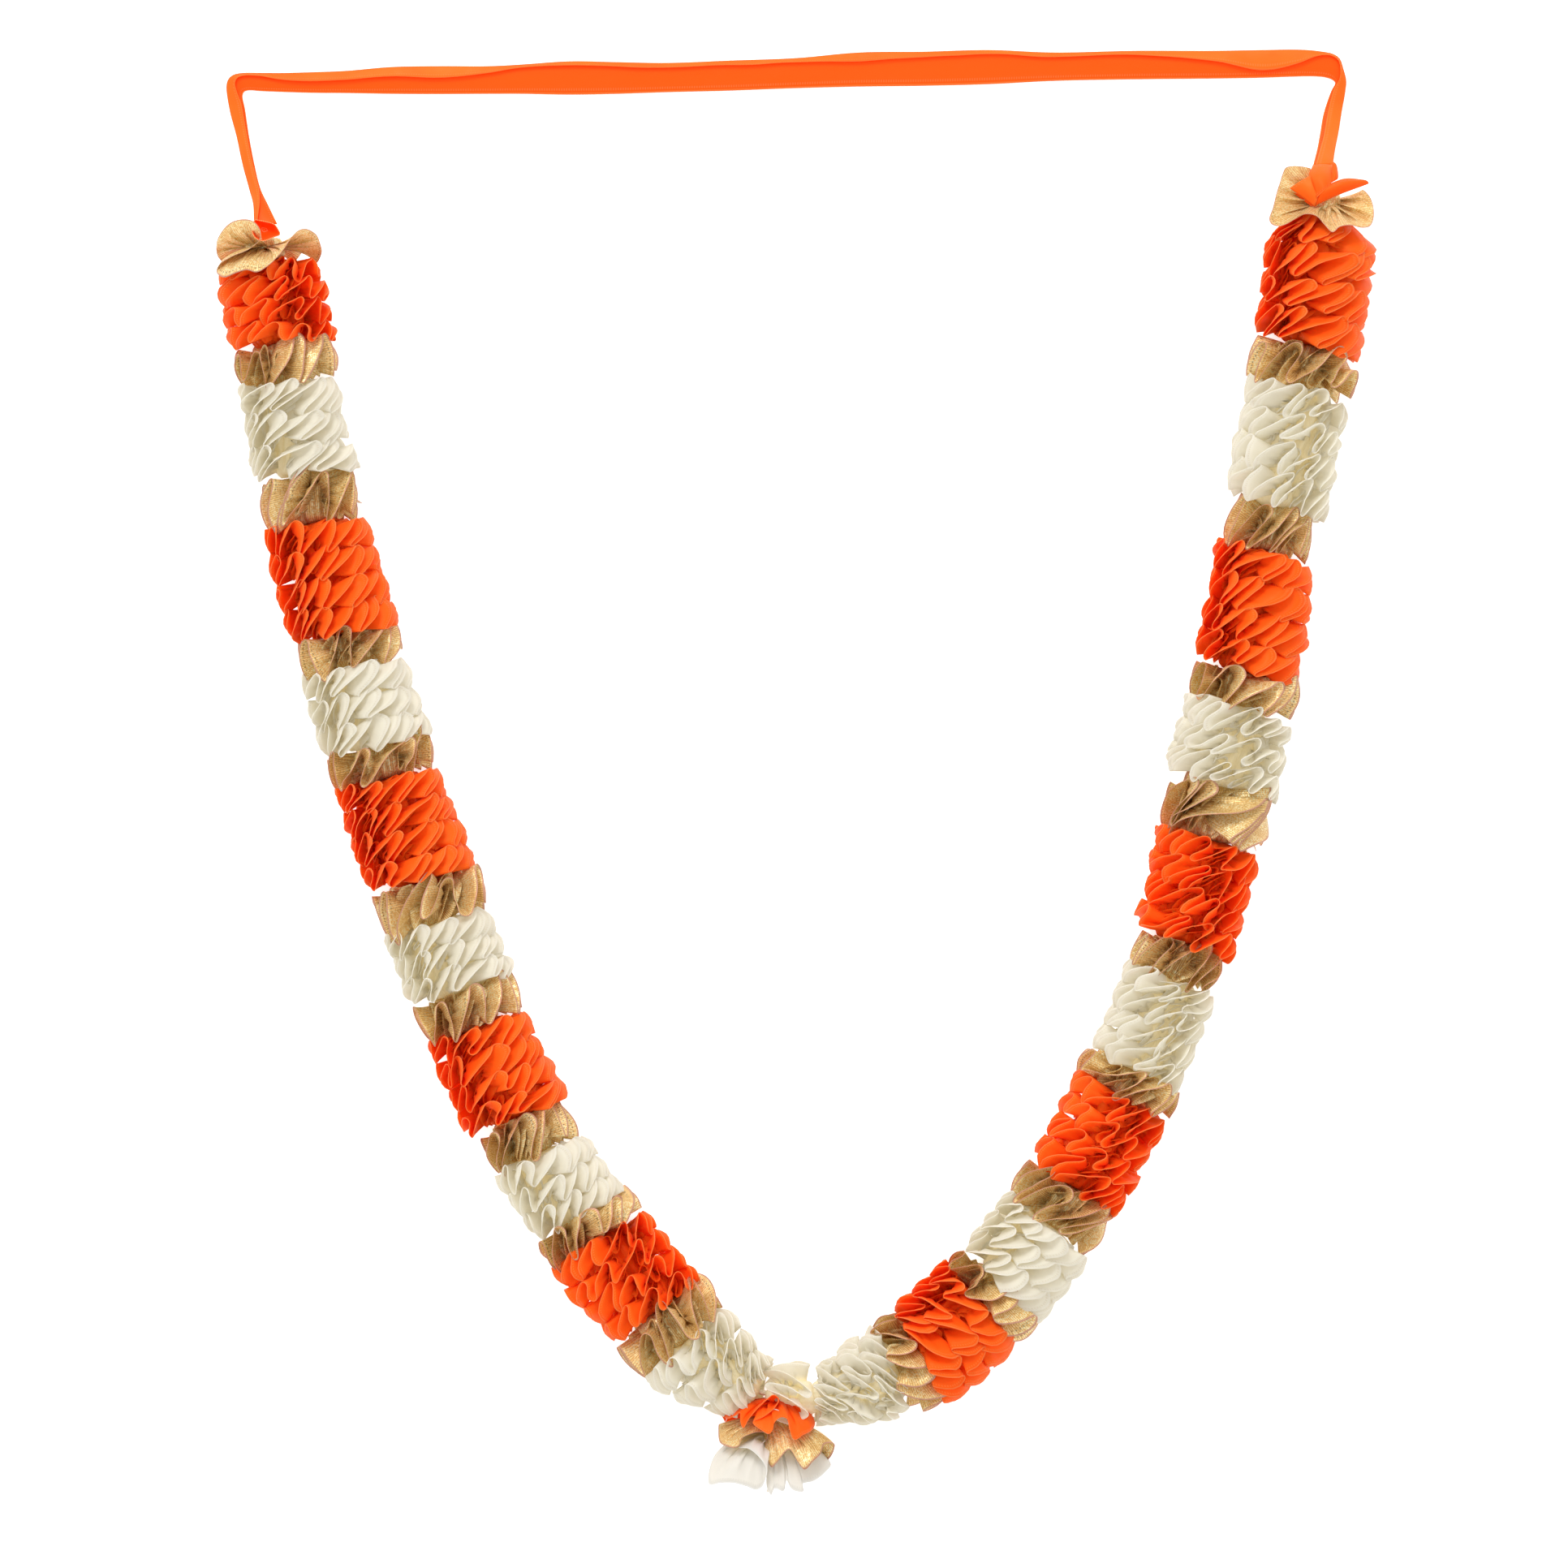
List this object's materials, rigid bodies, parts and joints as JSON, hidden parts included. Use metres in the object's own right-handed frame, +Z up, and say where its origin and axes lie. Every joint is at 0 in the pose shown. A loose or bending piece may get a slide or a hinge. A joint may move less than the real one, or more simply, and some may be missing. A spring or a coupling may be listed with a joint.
{
  "type": "satin ribbon garland",
  "caption": "Neck garland of gathered satin ribbon: orange and ivory ruffle rolls between gold ribbon ruffles on two strands that meet in a V with a short pendant, closed by a flat tie ribbon.",
  "frame": {"origin": "centre of the garland's box without its tie ribbon, on the surface it lies on", "axes": "+Z up, away from the surface; +Y along the garland from the pendant towards the tie ribbon; +X across it, from the shorter strand to the longer one as it is seen from above"},
  "size_m": [0.4205, 0.527, 0.0375],
  "materials": {
    "orange_satin": "pleated polyester satin ribbon, shiny face, soft translucent glow in the folds",
    "ivory_satin": "pleated polyester satin ribbon, shiny face",
    "gold_ribbon": "sheer ribbon woven with metallic gold weft stripes and copper edges",
    "tie_satin": "flat polyester satin ribbon folded along its length",
    "thread": "twisted cotton thread"
  },
  "bodies": {
    "root": {"left_01_gold_ruffle": "gold_ribbon", "left_02_orange_ruffle": "orange_satin", "left_03_gold_ruffle": "gold_ribbon", "left_04_ivory_ruffle": "ivory_satin", "left_05_gold_ruffle": "gold_ribbon", "left_06_orange_ruffle": "orange_satin", "left_07_gold_ruffle": "gold_ribbon", "left_08_ivory_ruffle": "ivory_satin", "left_09_gold_ruffle": "gold_ribbon", "left_10_orange_ruffle": "orange_satin", "left_11_gold_ruffle": "gold_ribbon", "left_12_ivory_ruffle": "ivory_satin", "left_13_gold_ruffle": "gold_ribbon", "left_14_orange_ruffle": "orange_satin", "left_15_gold_ruffle": "gold_ribbon", "left_16_ivory_ruffle": "ivory_satin", "left_17_gold_ruffle": "gold_ribbon", "left_18_orange_ruffle": "orange_satin", "left_19_gold_ruffle": "gold_ribbon", "left_20_ivory_ruffle": "ivory_satin", "left_tie_end": "tie_satin", "pendant_1_orange_ruffle": "orange_satin", "pendant_2_gold_ruffle": "gold_ribbon", "pendant_3_ivory_ruffle": "ivory_satin", "pendant_thread": "thread", "right_01_gold_ruffle": "gold_ribbon", "right_02_orange_ruffle": "orange_satin", "right_03_gold_ruffle": "gold_ribbon", "right_04_ivory_ruffle": "ivory_satin", "right_05_gold_ruffle": "gold_ribbon", "right_06_orange_ruffle": "orange_satin", "right_07_gold_ruffle": "gold_ribbon", "right_08_ivory_ruffle": "ivory_satin", "right_09_gold_ruffle": "gold_ribbon", "right_10_orange_ruffle": "orange_satin", "right_11_gold_ruffle": "gold_ribbon", "right_12_ivory_ruffle": "ivory_satin", "right_13_gold_ruffle": "gold_ribbon", "right_14_orange_ruffle": "orange_satin", "right_15_gold_ruffle": "gold_ribbon", "right_16_ivory_ruffle": "ivory_satin", "right_17_gold_ruffle": "gold_ribbon", "right_18_orange_ruffle": "orange_satin", "right_19_gold_ruffle": "gold_ribbon", "right_20_ivory_ruffle": "ivory_satin", "right_tie_end": "tie_satin", "stringing_thread": "thread", "tie_ribbon": "tie_satin"}
  },
  "joints": []
}
